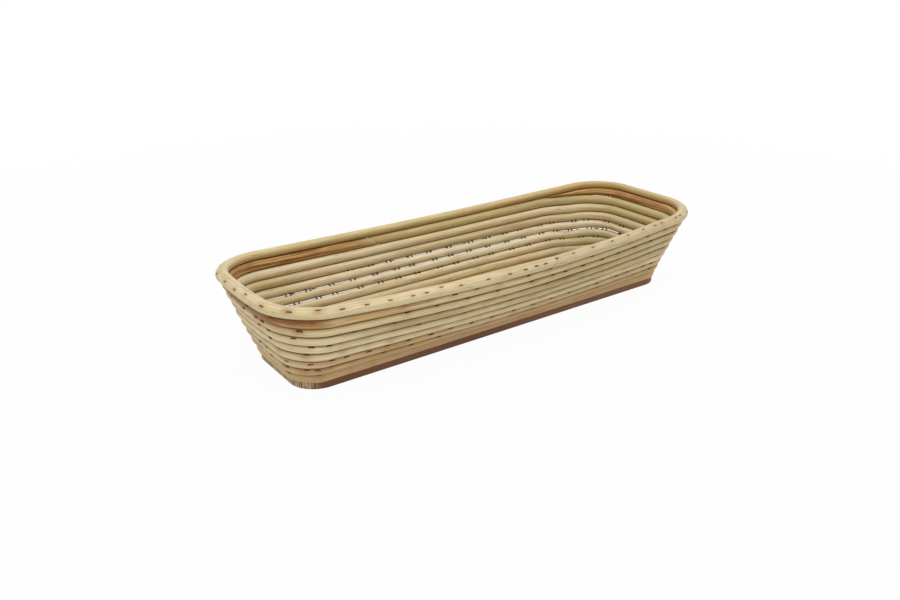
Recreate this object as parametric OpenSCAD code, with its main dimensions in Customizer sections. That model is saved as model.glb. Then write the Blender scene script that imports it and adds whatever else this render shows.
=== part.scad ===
// Long proofing basket: round cane wound up from a wooden base board,
// each turn stapled to the turn below, closed by an oval rim hoop.
// Millimetres. +X runs along the basket, +Y to its far wall, +Z up.
// The origin is the middle of the board's underside.

/* [Base board] */
// Length of the base board
board_l = 369; // [340:1:390]
// Width of the base board
board_w = 88; // [80:1:96]
// Thickness of the base board
board_t = 5.8; // [4.8:0.2:10]
// Radius of the board's corners
board_r = 21.5; // [16:0.5:26]

/* [Cane] */
// Diameter of the wall cane
cane_d = 7.45; // [7:0.05:9]
// Height of the oval rim cane, up the wall
rim_h = 7.1; // [6:0.1:9]
// Thickness of the oval rim cane, through the wall
rim_t = 9.6; // [8:0.1:12]
// Gap between one turn and the next
turn_gap = 0.55; // [0.5:0.05:1]
// Gap under the first turn, and in each splice
seat_gap = 0.3; // [0.1:0.05:0.5]
// How far the first turn stands out past the board's ends
end_overhang = 2.9; // [0:0.1:5]
// How far the first turn stands out past the board's sides
side_overhang = 0.2; // [0:0.2:3]

/* [Wall] */
// Outside length over the rim's ends
rim_l = 420.6; // [410:0.2:430]
// Outside width over the rim's bowed sides
rim_w = 156.8; // [148:0.2:164]
// Outside radius of the rim's corners
rim_r = 38; // [32:1:44]
// How far the rim's long sides bow out
side_bow = 10.2; // [6:0.2:13]
// How far the rim's ends bow out
end_bow = 4.7; // [2:0.1:7]
// How far the long walls belly out at half height
side_belly = 2.3; // [0:0.1:4]
// How far the end walls tuck in at half height
end_tuck = 2.2; // [0:0.1:4]
// How far the walls stand over to the left at half height
end_drift = 2; // [0:0.1:3]
// How fast the bow grows with height: 1 is steady, less is faster at the foot
bow_rise = 0.75; // [0.7:0.05:1.2]

/* [Splices] */
// Turn that holds the splice on the front wall
lower_splice_turn = 3; // [2:1:5]
// Place of that splice, measured right of the middle
lower_splice_x = 39; // [10:1:80]
// Place of the far wall's splice on the last turn, measured left of the middle
upper_splice_x = 58; // [0:1:70]
// Place of the rim's scarf on the front, measured right of the middle
rim_scarf_x = 17; // [5:1:80]
// Slant of a splice: length of the cut for each millimetre of height
scarf_slant = 1.2; // [0:0.1:2]

/* [Staples] */
// Width of a staple's crown
crown_w = 5.2; // [4:0.1:8]
// Length of a staple's legs
leg_l = 12; // [11:0.2:12.4]
// Thickness of the staple wire
wire_t = 0.5; // [0.4:0.05:0.9]
// Width of the staple wire
wire_w = 0.9; // [0.6:0.1:1.2]
// Distance from one staple to the next on the wall
wall_step = 20; // [14:1:40]
// Distance from one staple to the next on the rim
rim_step = 18; // [12:1:40]
// How far out of a cane's middle the crowns sit on its shoulder
crown_side = 2; // [1:0.1:2.6]
// Lean of the staples, outward from the line to the turn below
staple_lean = 18; // [6:1:20]
// Height of a crown's underside over the cane
crown_lift = 0.1; // [0.05:0.05:0.3]

/* [Hidden] */
cane_color = [0.84, 0.74, 0.52];
brown_color = [0.66, 0.43, 0.24];
board_color = [0.43, 0.29, 0.23];
staple_color = [0.30, 0.21, 0.15];
facets = 96;
tube_sides = 6;
// The wall's turns, each with its own row of staples, and the rim over them
wall_turns = 8;
rim_level = wall_turns + 1;
wall_pitch = cane_d + turn_gap;
rim_pitch = (cane_d + rim_h) / 2 + turn_gap;
first_z = board_t + seat_gap + cane_d / 2;

// Stations of one turn, in order, counterclockwise seen from above.
// A side or end station gives its sign, and a side station its share of half the straight.
// A corner station gives the middle of its arc and its own angle.
// The last numbers are the shares of a level that the first and the last turn have climbed by then.
SIDE = 0;
END = 1;
CORNER = 2;
STATIONS = [
    [SIDE, 1, 0.05, 0, 0], [SIDE, 1, -0.5, 0, 0],
    for (angle = [90:30:180]) [CORNER, 135, angle, 0, 0],
    [END, -1, 0, 0, 0],
    for (angle = [180:30:270]) [CORNER, 225, angle, 0, 0],
    for (share = [-0.55, 0, 0.55]) [SIDE, -1, share, 0, 0],
    for (angle = [270:30:360]) [CORNER, 315, angle, 0, 0],
    [END, 1, 0, 0, 0],
    [CORNER, 45, 0, 0, 0], [CORNER, 45, 30, 0, 0.05],
    [CORNER, 45, 60, 0.02, 0.22], [CORNER, 45, 90, 0.12, 0.45],
    [SIDE, 1, 0.75, 0.8, 0.9]
];
rings = len(STATIONS);
// Stations that bound the far and the front straight, and those of the start's and the end's taper
last_far_ring = 2;
first_front_ring = 11;
last_front_ring = 13;
start_taper_rings = 2;
end_taper_rings = 4;

function unit(v) = v / norm(v);
function mix(a, b, share) = a * (1 - share) + b * share;
function climb(ring, turn) = mix(STATIONS[ring][3], STATIONS[ring][4], (turn - 1) / (wall_turns - 1));
function height_share(level) = (level - 1) / (rim_level - 1);
function belly(level) = 4 * height_share(level) * (1 - height_share(level));
function bow_share(level) = level <= 1 ? 0 : pow(height_share(level), bow_rise);

// Half length, half width and corner radius of the cane's centre line at a level
function half_l(level) = mix(board_l / 2 + end_overhang - cane_d / 2,
    (rim_l - rim_t) / 2 - end_bow, height_share(level)) - end_tuck * belly(level);
function half_w(level) = mix(board_w / 2 + side_overhang - cane_d / 2,
    (rim_w - rim_t) / 2 - side_bow, height_share(level)) + side_belly * belly(level);
function corner_r(level) = mix(board_r + side_overhang - cane_d / 2, rim_r - rim_t / 2, height_share(level));

// Point of a straight-sided turn at a station, before its sides bow
function straight_point(ring, l, w, r) = let (s = STATIONS[ring])
    s[0] == SIDE ? [s[2] * (l - r), s[1] * w] :
    s[0] == END ? [s[1] * l, 0] :
    [sign(cos(s[1])) * (l - r) + r * cos(s[2]), sign(sin(s[1])) * (w - r) + r * sin(s[2])];

// The same point with the sides and ends bowed out, and drifted to the left
function plan_point(ring, level) = let (
    l = half_l(level), w = half_w(level),
    p = straight_point(ring, l, w, corner_r(level)),
    x = p[0] / l, y = p[1] / w, bow = bow_share(level))
    [p[0] + end_bow * bow * x * (1 - y * y) - end_drift * belly(level),
        p[1] + side_bow * bow * y * (1 - x * x)];

// Each turn lies one pitch from the turn below, so it rises least where the wall flares most
function outward(ring) = let (s = STATIONS[ring])
    s[0] == SIDE ? [0, s[1]] : s[0] == END ? [s[1], 0] : [cos(s[2]), sin(s[2])];
function flare(ring, level) = (plan_point(ring, level) - plan_point(ring, level - 1)) * outward(ring);
function rise(ring, level) = level <= 1 ? first_z : rise(ring, level - 1)
    + sqrt(pow(level == rim_level ? rim_pitch : wall_pitch, 2) - pow(flare(ring, level), 2));
LEVELS = [for (level = [1:rim_level]) [for (ring = [0:rings - 1])
    let (p = plan_point(ring, level)) [p[0], p[1], rise(ring, level)]]];

// Point of the wall at a station and at any height, counted in levels
function wall_point(ring, level) = let (low = min(max(floor(level), 1), rim_level - 1))
    mix(LEVELS[low - 1][ring], LEVELS[low][ring], level - low);
function wall_up(ring, level) = unit(wall_point(ring, level + 0.5) - wall_point(ring, level - 0.5));

// The winding as one count of rings from its first full ring: its turn, station, thickness and height
function turn_of(count) = floor(count / rings) + 1;
function ring_of(count) = count - rings * floor(count / rings);
function ring_thickness(count) = let (turn = turn_of(count), share = climb(ring_of(count), max(turn, 1)))
    count < 0 ? wall_pitch * share - turn_gap :
    turn == wall_turns && share > 0 ? wall_pitch * (1 - share) - turn_gap : cane_d;
function level_of(count) = let (turn = turn_of(count), spare = (cane_d - ring_thickness(count)) / 2)
    count < 0 ? 1 - spare / wall_pitch :
    turn == wall_turns ? wall_turns + spare / rim_pitch :
    turn + climb(ring_of(count), turn);
function ring_spot(count) = wall_point(ring_of(count), level_of(count));
function spot(count) = let (low = floor(count))
    count == low ? ring_spot(low) : mix(ring_spot(low), ring_spot(low + 1), count - low);
function thickness(count) = let (low = floor(count))
    count == low ? ring_thickness(low) : mix(ring_thickness(low), ring_thickness(low + 1), count - low);

// Counts at which the three canes of the winding begin and end
winding_start = -start_taper_rings;
winding_end = wall_turns * rings - 1;
function front_count(x, level) = lookup(x, [for (ring = [first_front_ring:last_front_ring])
    [LEVELS[level - 1][ring][0], ring]]);
lower_splice = (lower_splice_turn - 1) * rings + front_count(lower_splice_x, lower_splice_turn);
function far_count(x, level) = lookup(x, [for (ring = [last_far_ring:-1:0])
    [LEVELS[level - 1][ring][0], ring]]);
upper_splice = (wall_turns - 1) * rings + far_count(-upper_splice_x, wall_turns);

// One unbroken tube through the rings [centre, height, up, thickness], its ends cut at a slant
function heading(list, i) = let (last = len(list) - 1)
    i == 0 ? unit(list[1][0] - list[0][0]) :
    i == last ? unit(list[last][0] - list[last - 1][0]) :
    unit(unit(list[i + 1][0] - list[i][0]) + unit(list[i][0] - list[i - 1][0]));
function tube_ring(list, i, slant) = let (
    centre = list[i][0], high = list[i][1] / 2, wide = list[i][3] / 2, along = heading(list, i),
    out = unit(cross(along, list[i][2])), up = cross(out, along))
    [for (side = [0:tube_sides - 1]) let (a = 360 * side / tube_sides)
        centre + high * cos(a) * (up + slant * along) + wide * sin(a) * out];
module tube(list, start_slant, end_slant) {
    last = len(list) - 1;
    points = [for (i = [0:last]) each tube_ring(list, i, i == 0 ? start_slant : i == last ? end_slant : 0)];
    walls = [for (i = [0:last - 1]) for (side = [0:tube_sides - 1]) let (
        a = i * tube_sides + side, b = i * tube_sides + (side + 1) % tube_sides,
        c = a + tube_sides, d = b + tube_sides) each [[a, c, b], [b, c, d]]];
    caps = [for (side = [1:tube_sides - 2]) each [
        [0, side, side + 1],
        [last * tube_sides, last * tube_sides + side + 1, last * tube_sides + side]]];
    polyhedron(points = points, faces = concat(walls, caps));
}

// Rings of the winding from one count to another, pulled back from a splice by half its gap
function winding_ring(count) = let (low = floor(count), high = ceil(count))
    [spot(count), thickness(count), unit(mix(wall_up(ring_of(low), level_of(low)),
        wall_up(ring_of(high), level_of(high)), count - low)), thickness(count)];
function shifted(ring, along) = [ring[0] + along, ring[1], ring[2], ring[3]];
function splice_ring(count, side) = shifted(winding_ring(count),
    side * seat_gap / 2 * sqrt(1 + scarf_slant * scarf_slant) * unit(spot(ceil(count)) - spot(floor(count))));
function winding(from, to) = [
    if (from != floor(from)) splice_ring(from, 1),
    for (count = [ceil(from):floor(to)]) winding_ring(count),
    if (to != floor(to)) splice_ring(to, -1)
];

// The rim is one ring that starts and ends at its scarf
scarf_ring = front_count(rim_scarf_x, rim_level);
function rim_spot(count) = let (low = floor(count))
    mix(LEVELS[rim_level - 1][low % rings], LEVELS[rim_level - 1][(low + 1) % rings], count - low);
function rim_up(count) = unit(rim_spot(count)
    - mix(LEVELS[rim_level - 2][floor(count) % rings], LEVELS[rim_level - 2][ceil(count) % rings],
        count - floor(count)));
function rim_ring(count) = [rim_spot(count), rim_h, rim_up(count), rim_t];
scarf_shift = seat_gap / 2 * sqrt(1 + scarf_slant * scarf_slant)
    * unit(rim_spot(ceil(scarf_ring)) - rim_spot(floor(scarf_ring)));
RIM = [
    shifted(rim_ring(scarf_ring), scarf_shift),
    for (count = [ceil(scarf_ring):rings + floor(scarf_ring)]) rim_ring(count),
    shifted(rim_ring(scarf_ring), -scarf_shift)
];

// Least gap from the winding to its next turn and to the rim, on points four to a ring
near = [for (step = [-1:0.25:1]) step];
turn_gaps = [for (count = [0:0.25:winding_end - rings]) for (step = near)
    if (count + rings + step <= winding_end)
        let (other = count + rings + step)
            norm(spot(count) - spot(other)) - (thickness(count) + thickness(other)) / 2];
rim_gaps = [for (count = [(wall_turns - 1) * rings:0.25:winding_end]) for (step = near)
    norm(spot(count) - rim_spot(ring_of(count + step))) - (thickness(count) + rim_h) / 2];
echo(least_gap_between_turns_mm = min(turn_gaps), least_gap_under_rim_mm = min(rim_gaps));

// Staples: places every step along a row, measured on the row's own length
function lengths(spots, i = 0, sum = 0) = i == len(spots) ? [] : let (
    here = sum + (i == 0 ? 0 : norm(spots[i] - spots[i - 1]))) concat([here], lengths(spots, i + 1, here));
function places(spots, step) = let (table = [for (i = [0:len(spots) - 1]) [lengths(spots)[i], i]],
    total = table[len(table) - 1][0], count = floor(total / step))
    [for (i = [0:count - 1]) lookup((i + 0.5) * total / count, table)];

// A staple on a cane: the cane's centre, heading, line to the turn below, height and thickness
module staple(centre, along, up, high, thick) {
    out = unit(cross(along, up));
    rest = cross(out, along);
    drive = cos(staple_lean) * rest + sin(staple_lean) * out;
    across = cross(drive, along);
    shoulder = high / 2 * sqrt(1 - pow(2 * crown_side / thick, 2));
    seat = centre + crown_side * out + (shoulder + crown_lift) * rest;
    half = crown_w / 2;
    foot = wire_t - leg_l;
    multmatrix([for (i = [0:2]) [along[i], across[i], drive[i], seat[i]]])
        rotate([90, 0, 0])
            linear_extrude(wire_w, center = true)
                polygon([
                    [-half, foot], [-half, wire_t], [half, wire_t], [half, foot],
                    [half - wire_t, foot], [half - wire_t, 0],
                    [wire_t - half, 0], [wire_t - half, foot]
                ]);
}
function ring_from_below(count) = let (ring = ring_of(count), level = level_of(count))
    unit(wall_point(ring, level) - wall_point(ring, level - 1));
function staple_up(count) = let (low = floor(count))
    turn_of(count) == 1 ? [0, 0, 1] : unit(mix(ring_from_below(low), ring_from_below(low + 1), count - low));
module wall_staples(turn) {
    first = (turn - 1) * rings;
    last = turn == wall_turns ? first + rings - end_taper_rings : first + rings;
    spots = [for (count = [first:last]) spot(count)];
    color(staple_color)
        for (place = places(spots, wall_step))
            let (count = first + place, low = floor(count))
                staple(spot(count), unit(spot(low + 1) - spot(low)), staple_up(count), cane_d, cane_d);
}

module base_board() {
    color(board_color)
        linear_extrude(board_t) {
            square([board_l - 2 * board_r, board_w], center = true);
            square([board_l, board_w - 2 * board_r], center = true);
            for (x = [-1, 1], y = [-1, 1])
                translate([x * (board_l / 2 - board_r), y * (board_w / 2 - board_r)])
                    circle(board_r, $fn = facets);
        }
}
module lower_cane() {
    color(cane_color) tube(winding(winding_start, lower_splice), 0, scarf_slant);
}
module middle_cane() {
    color(cane_color) tube(winding(lower_splice, upper_splice), scarf_slant, scarf_slant);
}
module upper_cane() {
    color(brown_color) tube(winding(upper_splice, winding_end), scarf_slant, 0);
}
module rim_cane() {
    color(cane_color) tube(RIM, scarf_slant, scarf_slant);
}
module rim_staples() {
    spots = [for (ring = RIM) ring[0]];
    color(staple_color)
        for (place = places(spots, rim_step))
            let (low = floor(place), share = place - low)
                staple(mix(RIM[low][0], RIM[low + 1][0], share), unit(RIM[low + 1][0] - RIM[low][0]),
                    unit(mix(RIM[low][2], RIM[low + 1][2], share)), rim_h, rim_t);
}

base_board();
lower_cane();
middle_cane();
upper_cane();
rim_cane();
wall_staples(1);  // staples_turn_1
wall_staples(2);  // staples_turn_2
wall_staples(3);  // staples_turn_3
wall_staples(4);  // staples_turn_4
wall_staples(5);  // staples_turn_5
wall_staples(6);  // staples_turn_6
wall_staples(7);  // staples_turn_7
wall_staples(8);  // staples_turn_8
rim_staples();
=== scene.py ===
"""Looks of the long proofing basket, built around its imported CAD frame.

Round cane climbs from a wooden base board in eight turns, each stapled to the turn
below, and an oval hoop closes the rim. The three canes of the winding, the hoop, the
rows of staples and the board are surfaces worked out with numpy from the sizes of the
part's source. Lengths are metres: +X runs along the basket, +Y to its far wall, +Z up,
and the origin is the middle of the board's underside.
"""

import logging
import math
from dataclasses import dataclass, field
from enum import Enum
from typing import Any, Mapping, Sequence

import bpy
import numpy as np
from mathutils import Matrix

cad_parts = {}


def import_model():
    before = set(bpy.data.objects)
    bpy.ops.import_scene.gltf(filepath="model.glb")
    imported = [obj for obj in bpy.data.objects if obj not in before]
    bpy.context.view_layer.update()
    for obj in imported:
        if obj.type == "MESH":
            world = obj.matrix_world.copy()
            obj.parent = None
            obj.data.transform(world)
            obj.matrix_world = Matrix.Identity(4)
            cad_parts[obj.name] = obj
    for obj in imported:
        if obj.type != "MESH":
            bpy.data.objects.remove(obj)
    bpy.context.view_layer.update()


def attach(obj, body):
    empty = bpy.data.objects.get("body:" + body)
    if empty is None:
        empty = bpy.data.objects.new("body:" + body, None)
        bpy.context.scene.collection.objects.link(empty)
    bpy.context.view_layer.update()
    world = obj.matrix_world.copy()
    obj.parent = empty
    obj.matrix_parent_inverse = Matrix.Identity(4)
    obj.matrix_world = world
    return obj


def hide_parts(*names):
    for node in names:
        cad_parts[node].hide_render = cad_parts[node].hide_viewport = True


LOG = logging.getLogger("proofing_basket")
BODY = "root"
MM = 0.001
FRAME_W = 900
WHITE = (1.0, 1.0, 1.0, 1.0)
SHARP_ANGLE = math.radians(32)
NOISE_ROUGHNESS = 0.55
NOISE_MIDDLE = 0.5
NOISE_SHIFT = (1.0, 0.7, 1.3)

Array = np.ndarray
Colour = tuple[float, float, float, float]
Wave = tuple[float, float, float]
Span = tuple[float, float]
Weights = tuple[float, ...]


def linear(red: int, green: int, blue: int) -> Colour:
    """Scene-linear colour of a screen colour, by the sRGB curve.

    Args:
        red, green, blue: the screen colour's parts, from 0 to 255.

    Returns:
        The same colour as linear light, with full opacity.
    """
    parts = np.array([red, green, blue]) / 255
    lit = np.where(parts <= 0.04045, parts / 12.92, ((parts + 0.055) / 1.055) ** 2.4)
    return (float(lit[0]), float(lit[1]), float(lit[2]), 1.0)


def unit(vectors: Array) -> Array:
    """Vectors scaled to length one."""
    return vectors / np.linalg.norm(vectors, axis=-1, keepdims=True)


def distances(points: Array) -> Array:
    """How far each point of a line lies from its first, along the line."""
    return np.concatenate([[0.0], np.cumsum(np.linalg.norm(np.diff(points, axis=0), axis=-1))])


def mix(low: Any, high: Any, share: Any) -> Any:
    """The value that lies a share of the way from low to high."""
    return low * (1 - share) + high * share


def ease(low: Any, high: Any, x: Array) -> Array:
    """Smooth step: 0 up to low, 1 from high on, and 3t^2 - 2t^3 between them."""
    t = np.clip((x - low) / (high - low), 0, 1)
    return t * t * (3 - 2 * t)


def ripple(x: Array, waves: Sequence[Wave]) -> Array:
    """Sum of sines over x, each wave given as its length, height and phase."""
    length, height, phase = np.array(waves).T
    return (height * np.sin(2 * math.pi * x[..., None] / length + phase)).sum(-1)


def monotone(x: Array, knots: Array, values: Array) -> Array:
    """Smooth curve through knots that never overshoots them.

    Each span is the cubic 3t^2 - 2t^3 between its two values plus its end slopes. An inner
    knot's slope is the harmonic mean of the slopes beside it, and the outer ones are level.

    Args:
        x: where the curve is read.
        knots: rising places of the knots.
        values: heights at the knots.

    Returns:
        The curve's heights at x.
    """
    span = np.diff(knots)
    slope = np.diff(values) / span
    product = slope[1:] * slope[:-1]
    total = slope[1:] + slope[:-1]
    inner = np.where(product > 0, 2 * product / np.where(total == 0, 1, total), 0)
    tilt = np.concatenate([[0.0], inner, [0.0]])
    i = np.clip(np.searchsorted(knots, x, "right") - 1, 0, len(span) - 1)
    t = np.clip((x - knots[i]) / span[i], 0, 1)
    rise = t * t * (3 - 2 * t)
    return (
        mix(values[i], values[i + 1], rise)
        + span[i] * tilt[i] * t * (1 - t) ** 2
        - span[i] * tilt[i + 1] * t * t * (1 - t)
    )


class Tone(Enum):
    """Natural colours of peeled cane, from the palest to the brown of bark left on."""

    MILK = (242, 232, 199)
    CREAM = (233, 220, 182)
    PALE = (222, 205, 162)
    STRAW = (214, 194, 143)
    OLIVE = (202, 186, 132)
    GREY = (204, 188, 144)
    DUSK = (186, 166, 123)
    PINK = (216, 194, 156)
    GOLD = (208, 178, 118)
    TAN = (198, 167, 118)
    RIM = (206, 188, 150)

    def light(self) -> Array:
        """The tone as linear light, with full opacity."""
        return np.array(linear(*self.value))


# A place on the winding where a tone or an amount is known: its turn, its station and the value.
ToneStop = tuple[int, float, Tone]
AmountStop = tuple[int, float, float]


@dataclass(frozen=True)
class Strand:
    """A cane's middle line with its cross-frame, one row for each ring.

    The rings stand at even distances along the line. Counts number the stations that the
    winding has passed, tall and wide are the cane's thickness up the wall and through it,
    and run is the length from the strand's start.
    """

    count: Array
    centre: Array
    along: Array
    up: Array
    out: Array
    tall: Array
    wide: Array
    run: Array


# Stations at which a turn's plan changes and its values there: the place along the length and
# across the width, as shares of the straights, and the outward direction in degrees.
LENGTH_STATIONS = (0, 1, 2, 10, 11, 12, 13, 14, 22, 23, 24)
LENGTH_SHARES = (0.05, -0.5, -1, -1, -0.55, 0, 0.55, 1, 1, 0.75, 0.05)
WIDTH_STATIONS = (0, 5, 7, 17, 19, 24)
WIDTH_SHARES = (1, 1, -1, -1, 1, 1)
TURN_STATIONS = (0, 2, 5, 7, 10, 14, 17, 19, 22, 24)
TURN_DEGREES = (90, 90, 180, 180, 270, 270, 360, 360, 450, 450)
# Stations at which a turn climbs, and the shares that the first and the last turn have climbed there.
CLIMB_STATIONS = (19, 20, 21, 22, 23, 24)
FIRST_CLIMB = (0, 0, 0.02, 0.12, 0.8, 1)
LAST_CLIMB = (0, 0.05, 0.22, 0.45, 0.9, 1)
# Stations between which x rises: along the front, and on the far side left of its middle.
FRONT = (10, 14)
FAR_LEFT = (2, 0)


@dataclass(frozen=True)
class WallForm:
    """Form of the wound wall: the part's own sizes and the lines that follow from them."""

    board_l: float = 0.369
    board_w: float = 0.088
    board_t: float = 0.0058
    board_r: float = 0.0215
    cane_d: float = 0.00745
    rim_h: float = 0.0071
    rim_t: float = 0.0096
    turn_gap: float = 0.00055
    seat_gap: float = 0.0003
    end_overhang: float = 0.0029
    side_overhang: float = 0.0002
    rim_l: float = 0.4206
    rim_w: float = 0.1568
    rim_r: float = 0.038
    side_bow: float = 0.0102
    end_bow: float = 0.0047
    side_belly: float = 0.0023
    end_tuck: float = 0.0022
    end_drift: float = 0.0020
    bow_rise: float = 0.75
    turns: int = 8
    stations: int = 24
    thinnest: float = 0.0003
    ring_step: float = 0.0022
    dense: int = 60

    @property
    def rim_level(self) -> int:
        """Level of the rim hoop, counted from the first turn as 1."""
        return self.turns + 1

    @property
    def last_count(self) -> float:
        """Count at which the winding ends, one station short of its last full turn."""
        return self.turns * self.stations - 1.0

    @property
    def wall_pitch(self) -> float:
        """Distance from one turn's middle line to the next."""
        return self.cane_d + self.turn_gap

    @property
    def rim_pitch(self) -> float:
        """Distance from the last turn's middle line to the hoop's."""
        return (self.cane_d + self.rim_h) / 2 + self.turn_gap

    def outline(self, station: Array, half_l: float, half_w: float, r: float) -> tuple[Array, Array]:
        """Rounded rectangle, counterclockwise from above.

        A point is the middle of a corner arc plus r times the outward direction. On a corner
        the direction turns and the middle stands still, on a straight it is the other way.

        Args:
            station: places on the turn; 0 is on the far side, 6 the left end, 12 the front.
            half_l: half the length.
            half_w: half the width.
            r: radius of the corners.

        Returns:
            The points, and the outward directions there.
        """
        s = station % self.stations
        x = np.interp(s, LENGTH_STATIONS, LENGTH_SHARES)
        y = np.interp(s, WIDTH_STATIONS, WIDTH_SHARES)
        turn = np.radians(np.interp(s, TURN_STATIONS, TURN_DEGREES))
        outward = np.stack([np.cos(turn), np.sin(turn)], -1)
        middle = np.stack([x * (half_l - r), y * (half_w - r)], -1)
        return middle + r * outward, outward

    def plan(self, station: Array, level: int) -> tuple[Array, Array]:
        """Plan of one level: the rounded rectangle of that height with its sides bowed out.

        The sizes go evenly from the board to the rim, with a belly in the long walls, a tuck
        in the end walls and a drift to the left at half height. A bow is a parabola over the
        side it bends.

        Args:
            station: places on the turn.
            level: the level, 1 for the first turn.

        Returns:
            The points in plan, and the outward directions there.
        """
        height = (level - 1) / (self.rim_level - 1)
        belly = 4 * height * (1 - height)
        bow = height ** self.bow_rise
        half_l = mix(self.board_l / 2 + self.end_overhang - self.cane_d / 2,
                     (self.rim_l - self.rim_t) / 2 - self.end_bow, height) - self.end_tuck * belly
        half_w = mix(self.board_w / 2 + self.side_overhang - self.cane_d / 2,
                     (self.rim_w - self.rim_t) / 2 - self.side_bow, height) + self.side_belly * belly
        r = mix(self.board_r + self.side_overhang - self.cane_d / 2, self.rim_r - self.rim_t / 2, height)
        points, outward = self.outline(station, half_l, half_w, r)
        x, y = points[:, 0] / half_l, points[:, 1] / half_w
        bowed = np.stack([self.end_bow * x * (1 - y * y), self.side_bow * y * (1 - x * x)], -1)
        return points + bow * bowed - np.array([self.end_drift * belly, 0.0]), outward

    def levels(self, station: Array) -> Array:
        """Middle lines of all levels: each lies one pitch up the wall from the one below.

        A level's rise is the root of its pitch squared less its flare squared, where the
        flare is how far it stands out past the level below.

        Args:
            station: places on the turn.

        Returns:
            Points by level, station and axis.
        """
        below, _ = self.plan(station, 1)
        z = np.full(len(station), self.board_t + self.seat_gap + self.cane_d / 2)
        lines = [np.column_stack([below, z])]
        for level in range(2, self.rim_level + 1):
            here, outward = self.plan(station, level)
            pitch = self.rim_pitch if level == self.rim_level else self.wall_pitch
            flare = ((here - below) * outward).sum(-1)
            z = z + np.sqrt(pitch ** 2 - flare ** 2)
            lines.append(np.column_stack([here, z]))
            below = here
        return np.array(lines)

    def climb(self, station: Array, turn: Array) -> Array:
        """Share of a level that a turn has climbed, smooth over the length of the turn.

        The climb is made round the far right corner and along the far wall. The first turn
        makes it late and the last one early, and the others lie evenly between them.

        Args:
            station: places on the turn.
            turn: number of the turn at each place.

        Returns:
            The shares, from 0 to 1.
        """
        fine = np.linspace(0, self.stations, self.stations * self.dense + 1)
        line, _ = self.plan(fine, self.turns // 2)
        length = distances(line)
        knots = np.interp(CLIMB_STATIONS, fine, length)
        here = np.interp(station, fine, length)
        first, last = (monotone(here, knots, np.array(shares)) for shares in (FIRST_CLIMB, LAST_CLIMB))
        return mix(first, last, (turn - 1) / (self.turns - 1))

    def split(self, count: Array) -> tuple[Array, Array]:
        """The turn that each count lies on, from 1, and its station there."""
        turn = np.floor(count / self.stations) + 1
        return turn, count - self.stations * (turn - 1)

    def winding_line(self, count: Array) -> tuple[Array, Array, Array]:
        """Middle line of the winding.

        The first stations wedge in between the board and the first turn, and the last ones
        between the last turn and the hoop: there the thickness is what the climb leaves free.

        Args:
            count: stations passed since the first full ring; below 0 in the starting wedge.

        Returns:
            The points, the directions up the wall, and the thickness up the wall.
        """
        turn, station = self.split(count)
        climbed = self.climb(station, np.maximum(turn, 1))
        starts, ends = turn < 1, turn >= self.turns
        tall = np.where(starts, self.wall_pitch * climbed - self.turn_gap, self.cane_d)
        tall = np.where(ends, self.wall_pitch * (1 - climbed) - self.turn_gap, tall)
        tall = np.clip(tall, self.thinnest, self.cane_d)
        spare = (self.cane_d - tall) / 2
        level = np.where(starts, 1 - spare / self.wall_pitch, turn + climbed)
        level = np.where(ends, self.turns + spare / self.rim_pitch, level)
        lines = self.levels(station)
        return self.at_level(lines, level), self.wall_up(lines, level), tall

    def at_level(self, lines: Array, level: Array) -> Array:
        """Points on the wall at any height in levels, straight between the levels' lines."""
        low = np.clip(np.floor(level).astype(int), 1, self.rim_level - 1)
        here = np.arange(len(level))
        return mix(lines[low - 1, here], lines[low, here], (level - low)[:, None])

    def wall_up(self, lines: Array, level: Array) -> Array:
        """Directions up the wall: from half a level below to half a level above."""
        return unit(self.at_level(lines, level + 0.5) - self.at_level(lines, level - 0.5))

    def hoop_line(self, count: Array) -> tuple[Array, Array, Array]:
        """Middle line of the rim hoop: the points, the directions up the wall, the thickness."""
        lines = self.levels(count % self.stations)
        return lines[-1], unit(lines[-1] - lines[-2]), np.full(len(count), self.rim_h)

    def strand(self, first: float, last: float, hoop: bool = False) -> Strand:
        """A cane's line between two counts, with its rings at even distances.

        Args:
            first: count at which the cane starts.
            last: count at which it ends.
            hoop: True for the rim hoop, False for the winding.

        Returns:
            The strand. Where a wedge leaves less than half the thickness, its width is the
            chord of the round cane at that height.
        """
        line = self.hoop_line if hoop else self.winding_line
        fine = np.linspace(first, last, int((last - first) * self.dense))
        points, _, _ = line(fine)
        length = distances(points)
        run = np.linspace(0, length[-1], int(length[-1] / self.ring_step) + 1)
        count = np.interp(run, length, fine)
        centre, up, tall = line(count)
        along = unit(np.gradient(centre, axis=0))
        out = unit(np.cross(along, up))
        low = np.minimum(tall, self.cane_d / 2)
        wide = np.full(len(run), self.rim_t) if hoop else 2 * np.sqrt(low * (self.cane_d - low))
        return Strand(count, centre, along, np.cross(out, along), out, tall, wide, run)

    def station_at(self, x: float, level: int, side: tuple[int, int] = FRONT) -> float:
        """Station on one side at which a level's line passes x."""
        fine = np.linspace(*side, abs(side[1] - side[0]) * self.dense)
        return float(np.interp(x, self.plan(fine, level)[0][:, 0], fine))


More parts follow.
